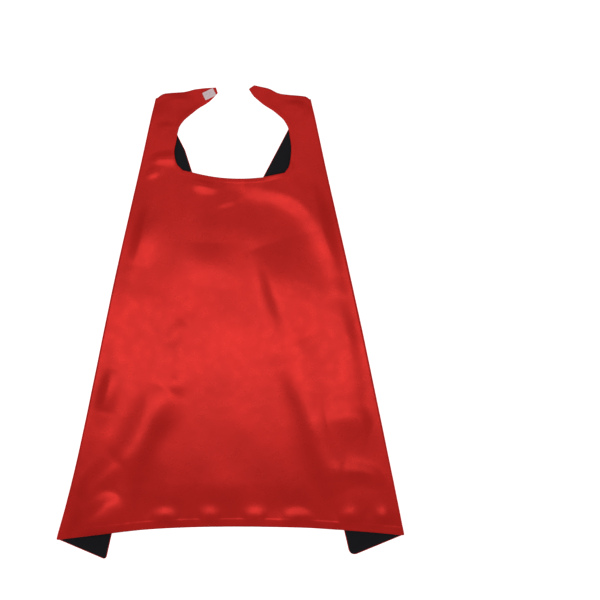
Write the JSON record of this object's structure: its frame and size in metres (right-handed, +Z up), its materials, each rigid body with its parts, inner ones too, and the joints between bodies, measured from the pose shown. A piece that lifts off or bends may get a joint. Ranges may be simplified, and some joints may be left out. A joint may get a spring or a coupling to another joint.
{
  "type": "superhero cape",
  "caption": "Child's reversible superhero cape lying flat, red satin with a black lining, side edges folded behind, neck tabs with hook and loop closing tapes.",
  "frame": {"origin": "on the table, under the middle of the cape's box as it lies", "axes": "+X across the cape, +Y from the hem towards the collar, +Z up from the table, out of the red face"},
  "size_m": [0.537, 0.736, 0.0057],
  "materials": {
    "red_satin": "satin weave, glossy, tinted red highlights",
    "black_satin": "satin weave, semi-gloss",
    "closing_tape": "matt hook and loop tape",
    "thread": "matt sewing thread"
  },
  "bodies": {
    "back_panel": {"back_outer": "red_satin", "back_lining": "black_satin"},
    "left_arm": {"left_arm_outer": "red_satin", "left_arm_lining": "black_satin", "hook_tape": "closing_tape", "hook_tape_stitching": "thread"},
    "right_arm": {"right_arm_outer": "red_satin", "right_arm_lining": "black_satin", "loop_tape": "closing_tape", "loop_tape_stitching": "thread"},
    "left_flap": {"left_flap_outer": "red_satin", "left_flap_lining": "black_satin"},
    "right_flap": {"right_flap_outer": "red_satin", "right_flap_lining": "black_satin"}
  },
  "joints": [
    {"name": "left_arm_swing", "type": "hinge", "parent": "back_panel", "child": "left_arm", "pos_m": [-0.06035, 0.2327, 0.00285], "axis": [0, 0, 1], "range_deg": [-14.2, 0]},
    {"name": "right_arm_swing", "type": "hinge", "parent": "back_panel", "child": "right_arm", "pos_m": [0.04918, 0.22479, 0.00285], "axis": [0, 0, -1], "range_deg": [-22.7, 0]},
    {"name": "left_side_fold", "type": "hinge", "parent": "back_panel", "child": "left_flap", "pos_m": [-0.20053, -0.04135, 0.00285], "axis": [0.214, 0.9768, 0], "range_deg": [0, 179]},
    {"name": "right_side_fold", "type": "hinge", "parent": "back_panel", "child": "right_flap", "pos_m": [0.20448, -0.04328, 0.00285], "axis": [0.2078, -0.9782, 0], "range_deg": [0, 179]}
  ]
}
